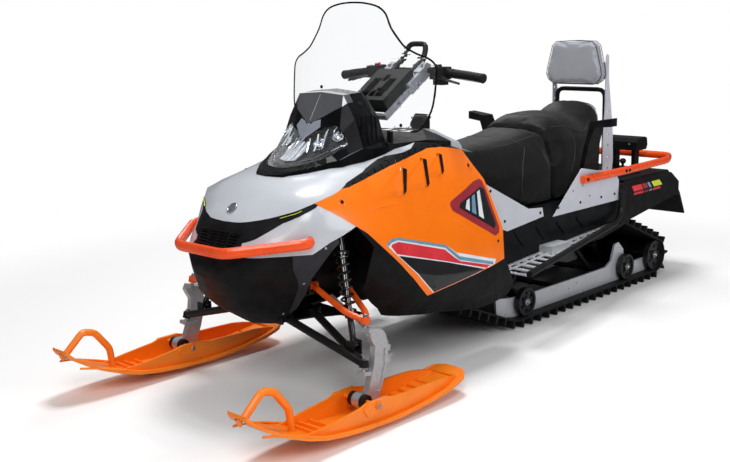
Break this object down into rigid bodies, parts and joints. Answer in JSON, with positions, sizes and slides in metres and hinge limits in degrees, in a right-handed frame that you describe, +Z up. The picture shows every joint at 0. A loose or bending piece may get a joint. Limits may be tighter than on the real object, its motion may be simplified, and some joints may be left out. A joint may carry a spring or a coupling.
{
  "type": "snowmobile",
  "caption": "Tall-windshield utility snowmobile for two with a wide track, steered skis, orange side panels, backrest and rear rack.",
  "frame": {"origin": "centre of the footprint of the whole sled, on the ground under the track", "axes": "+Z up, -Y towards the nose, +X towards the rider's left"},
  "size_m": [1.17, 3.304, 1.398],
  "materials": {
    "ski_plastic": "smooth moulded orange plastic",
    "spindle_metal": "satin cast aluminium",
    "black_steel": "black powder coat",
    "orange_steel": "orange powder coat",
    "shock_metal": "black coil over a steel damper",
    "engine_block": "plain hidden block",
    "black_plastic": "textured moulded black plastic",
    "grey_panel": "light grey gloss",
    "orange_panel": "bright orange gloss",
    "gloss_black": "gloss black",
    "lamp_lens": "clear lens",
    "tinted_glass": "smoky tint",
    "clear_screen": "clear polycarbonate",
    "orange_tube": "red-orange gloss coat",
    "silver_tube": "satin silver",
    "grip_rubber": "moulded rubber and black plastic",
    "pad_black": "padded black cover",
    "tunnel_metal": "black coat",
    "board_metal": "grated plate",
    "grey_plate": "light grey satin",
    "seat_cover": "black vinyl",
    "pad_cover": "grey vinyl",
    "flap_rubber": "black rubber",
    "rail_metal": "satin aluminium",
    "wheel_black": "black moulded wheel with rubber rim",
    "damper_rubber": "black rubber",
    "cover_plastic": "dark grey moulded plastic",
    "track_rubber": "black rubber"
  },
  "bodies": {
    "chassis": {"lower_arms": "black_steel", "upper_arms": "orange_steel", "shocks": "shock_metal", "bulkhead": "black_steel", "engine": "engine_block", "belly_pan": "black_plastic", "shock_covers": "cover_plastic", "hood": "grey_panel", "grille": "black_plastic", "side_panels": "orange_panel", "side_skirts": "black_plastic", "vent_strips": "black_plastic", "cowl": "gloss_black", "headlamps": "lamp_lens", "visor": "tinted_glass", "windshield": "clear_screen", "console": "black_plastic", "tank_cover": "grey_panel", "front_bumper": "orange_tube", "tunnel": "tunnel_metal", "running_boards": "board_metal", "board_tubes": "black_steel", "rear_body": "black_plastic", "rear_rack": "orange_tube", "tail_lamp": "black_plastic", "snow_flap": "flap_rubber", "seat_plates": "grey_plate", "seat_front": "seat_cover", "seat_rear": "seat_cover", "backrest_frame": "black_steel", "backrest_pad": "pad_cover", "passenger_grips": "black_plastic", "slide_rails": "rail_metal", "skid_arms": "black_steel", "skid_wheels": "wheel_black", "drive_axle": "black_steel", "track": "track_rubber"},
    "steering": {"steering_riser": "silver_tube", "handlebar": "black_steel", "controls": "grip_rubber", "bar_pad": "pad_black"},
    "spindle_left_body": {"spindle_left": "spindle_metal"},
    "spindle_right_body": {"spindle_right": "spindle_metal"},
    "ski_left_body": {"ski_left": "ski_plastic", "ski_damper_left": "damper_rubber"},
    "ski_right_body": {"ski_right": "ski_plastic", "ski_damper_right": "damper_rubber"},
    "tie_rod_left_body": {"tie_rod_left": "spindle_metal"},
    "tie_rod_right_body": {"tie_rod_right": "spindle_metal"}
  },
  "joints": [
    {"name": "handlebar_turn", "type": "hinge", "parent": "chassis", "child": "steering", "pos_m": [0, -0.59, 0.921], "axis": [0, 0.8365, 0.548], "range_deg": [-35, 35]},
    {"name": "left_spindle_turn", "type": "hinge", "parent": "chassis", "child": "spindle_left_body", "pos_m": [0.478, -1.078, 0.205], "axis": [-0.0971, 0.1872, 0.9775], "range_deg": [-28, 28]},
    {"name": "right_spindle_turn", "type": "hinge", "parent": "chassis", "child": "spindle_right_body", "pos_m": [-0.478, -1.078, 0.205], "axis": [0.0971, 0.1872, 0.9775], "range_deg": [-28, 28]},
    {"name": "left_ski_rock", "type": "hinge", "parent": "spindle_left_body", "child": "ski_left_body", "pos_m": [0.49, -1.115, 0.092], "axis": [1, 0, 0], "range_deg": [-18, 12]},
    {"name": "right_ski_rock", "type": "hinge", "parent": "spindle_right_body", "child": "ski_right_body", "pos_m": [-0.49, -1.115, 0.092], "axis": [1, 0, 0], "range_deg": [-18, 12]},
    {"name": "left_tie_rod_turn", "type": "hinge", "parent": "spindle_left_body", "child": "tie_rod_left_body", "pos_m": [0.446, -0.93, 0.222], "axis": [-0.0971, 0.1872, 0.9775], "range_deg": [-28, 28]},
    {"name": "right_tie_rod_turn", "type": "hinge", "parent": "spindle_right_body", "child": "tie_rod_right_body", "pos_m": [-0.446, -0.93, 0.222], "axis": [0.0971, 0.1872, 0.9775], "range_deg": [-28, 28]}
  ],
  "couplings": [
    {"joint": "left_spindle_turn", "follows": "handlebar_turn", "ratio": 0.8},
    {"joint": "right_spindle_turn", "follows": "handlebar_turn", "ratio": 0.8},
    {"joint": "left_tie_rod_turn", "follows": "handlebar_turn", "ratio": -0.8},
    {"joint": "right_tie_rod_turn", "follows": "handlebar_turn", "ratio": -0.8}
  ]
}
